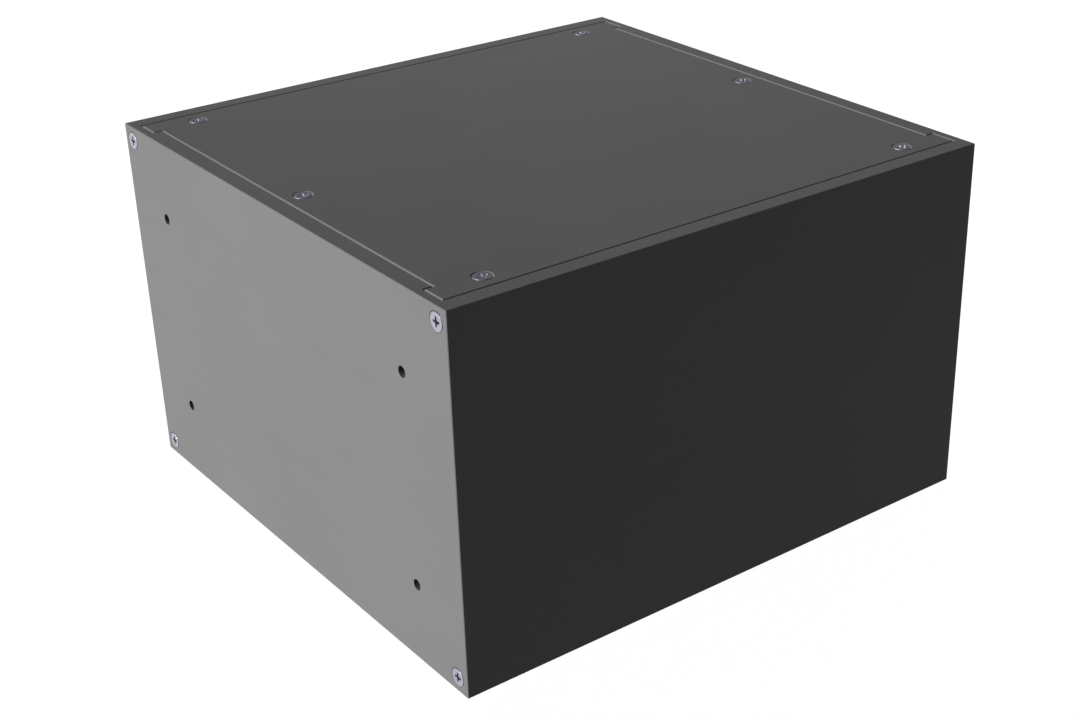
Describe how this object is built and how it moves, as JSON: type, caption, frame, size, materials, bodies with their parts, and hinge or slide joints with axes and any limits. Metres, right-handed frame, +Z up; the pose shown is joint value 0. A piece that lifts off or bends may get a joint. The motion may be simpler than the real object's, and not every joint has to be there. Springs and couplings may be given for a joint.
{
  "type": "instrument enclosure",
  "caption": "Rectangular aluminium instrument enclosure with screwed extruded walls and flush notched covers at top and bottom.",
  "frame": {"origin": "centre of the footprint, on the surface that the case stands on", "axes": "+Z up; +X along the width; -Y is the plain front; the wall with the four fixing holes faces -X"},
  "size_m": [0.2, 0.193, 0.1225],
  "materials": {
    "case_aluminium": "fine matt, anodised grey",
    "cover_aluminium": "fine matt, anodised grey",
    "screw_steel": "bright zinc plate"
  },
  "bodies": {
    "root": {"front_wall": "case_aluminium", "rear_wall": "case_aluminium", "left_wall": "case_aluminium", "right_wall": "case_aluminium", "top_cover": "cover_aluminium", "bottom_cover": "cover_aluminium", "left_wall_screw_1": "screw_steel", "left_wall_screw_2": "screw_steel", "left_wall_screw_3": "screw_steel", "left_wall_screw_4": "screw_steel", "right_wall_screw_1": "screw_steel", "right_wall_screw_2": "screw_steel", "right_wall_screw_3": "screw_steel", "right_wall_screw_4": "screw_steel", "top_cover_screw_1": "screw_steel", "top_cover_screw_2": "screw_steel", "top_cover_screw_3": "screw_steel", "top_cover_screw_4": "screw_steel", "top_cover_screw_5": "screw_steel", "top_cover_screw_6": "screw_steel", "bottom_cover_screw_1": "screw_steel", "bottom_cover_screw_2": "screw_steel", "bottom_cover_screw_3": "screw_steel", "bottom_cover_screw_4": "screw_steel", "bottom_cover_screw_5": "screw_steel", "bottom_cover_screw_6": "screw_steel"}
  },
  "joints": []
}
